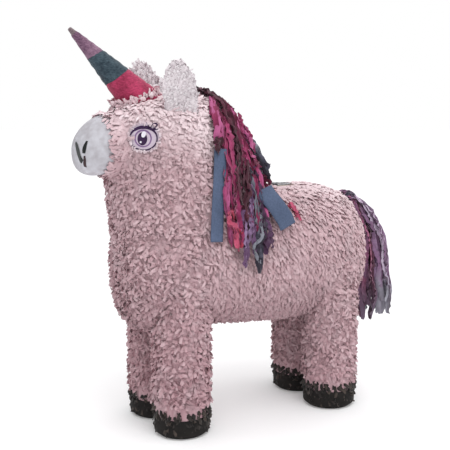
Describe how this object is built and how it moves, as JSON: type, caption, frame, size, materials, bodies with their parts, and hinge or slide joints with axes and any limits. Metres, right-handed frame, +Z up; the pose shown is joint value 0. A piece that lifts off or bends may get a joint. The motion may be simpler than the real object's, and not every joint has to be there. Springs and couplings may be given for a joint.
{
  "type": "pinata",
  "caption": "Standing unicorn party pinata: hollow papier-mache body with tissue fringe, horn, mane and tail, a fill flap in the flank and a hanging ring on the back.",
  "frame": {"origin": "on the floor, midway between the four legs", "axes": "+Z up, -Y the way the face looks, +X the animal's left flank"},
  "size_m": [0.1951, 0.525, 0.5528],
  "materials": {
    "pink_tissue": "matte",
    "black_tissue": "matte",
    "black_card": "matte",
    "papier_mache": "matte",
    "card_tube": "matte",
    "plain_card": "matte",
    "white_paper": "matte",
    "print_black": "matte",
    "print_red": "matte",
    "eye_card": "satin",
    "ear_paper": "matte",
    "crimson_paper": "matte",
    "teal_paper": "matte",
    "mauve_paper": "matte",
    "grey_paper": "matte",
    "tape_paper": "matte",
    "steel": "satin",
    "teal_ribbon": "matte",
    "magenta_tissue": "matte",
    "burgundy_tissue": "matte",
    "purple_tissue": "matte",
    "grey_tissue": "matte"
  },
  "bodies": {
    "pinata": {"ear_left_card": "plain_card", "ear_left_fringe": "pink_tissue", "ear_left_lining": "ear_paper", "ear_right_card": "plain_card", "ear_right_fringe": "pink_tissue", "ear_right_lining": "ear_paper", "eye_left": "eye_card", "eye_right": "eye_card", "flap_hinge_tape": "tape_paper", "hanger_backing_card": "plain_card", "hanger_plate": "steel", "hanger_rivets": "steel", "head_fringe": "pink_tissue", "head_shell": "papier_mache", "hoof_paper_front_left": "black_tissue", "hoof_paper_front_right": "black_tissue", "hoof_paper_rear_left": "black_tissue", "hoof_paper_rear_right": "black_tissue", "hoof_sole_front_left": "black_card", "hoof_sole_front_right": "black_card", "hoof_sole_rear_left": "black_card", "hoof_sole_rear_right": "black_card", "horn_cone": "plain_card", "horn_tip": "grey_paper", "horn_wrap_crimson": "crimson_paper", "horn_wrap_mauve": "mauve_paper", "horn_wrap_teal": "teal_paper", "leg_fringe_front_left": "pink_tissue", "leg_fringe_front_right": "pink_tissue", "leg_fringe_rear_left": "pink_tissue", "leg_fringe_rear_right": "pink_tissue", "leg_tube_front_left": "card_tube", "leg_tube_front_right": "card_tube", "leg_tube_rear_left": "card_tube", "leg_tube_rear_right": "card_tube", "mane_burgundy": "burgundy_tissue", "mane_crest_strip": "tape_paper", "mane_far_burgundy": "burgundy_tissue", "mane_far_magenta": "magenta_tissue", "mane_magenta_front": "magenta_tissue", "mane_magenta_rear": "magenta_tissue", "mane_purple": "purple_tissue", "mane_ribbon_long": "teal_ribbon", "mane_ribbon_short": "teal_ribbon", "mane_withers": "purple_tissue", "mouth_print": "print_red", "muzzle_cover": "white_paper", "neck_fringe": "pink_tissue", "neck_shell": "papier_mache", "nostril_prints": "print_black", "tail_burgundy": "burgundy_tissue", "tail_grey": "grey_tissue", "tail_mauve": "purple_tissue", "tail_purple": "purple_tissue", "tail_root": "tape_paper", "torso_fringe": "pink_tissue", "torso_shell": "papier_mache"},
    "flap": {"fill_flap": "papier_mache", "fill_flap_fringe": "pink_tissue"},
    "ring": {"hanger_ring": "steel"}
  },
  "joints": [
    {"name": "fill_flap_hinge", "type": "hinge", "parent": "pinata", "child": "flap", "pos_m": [-0.0494, 0.039, 0.32337], "axis": [0, 1, 0], "range_deg": [0, 85]},
    {"name": "hanging_ring_pivot", "type": "hinge", "parent": "pinata", "child": "ring", "pos_m": [0, 0.05, 0.3366], "axis": [1, 0, 0], "range_deg": [0, 90]}
  ]
}
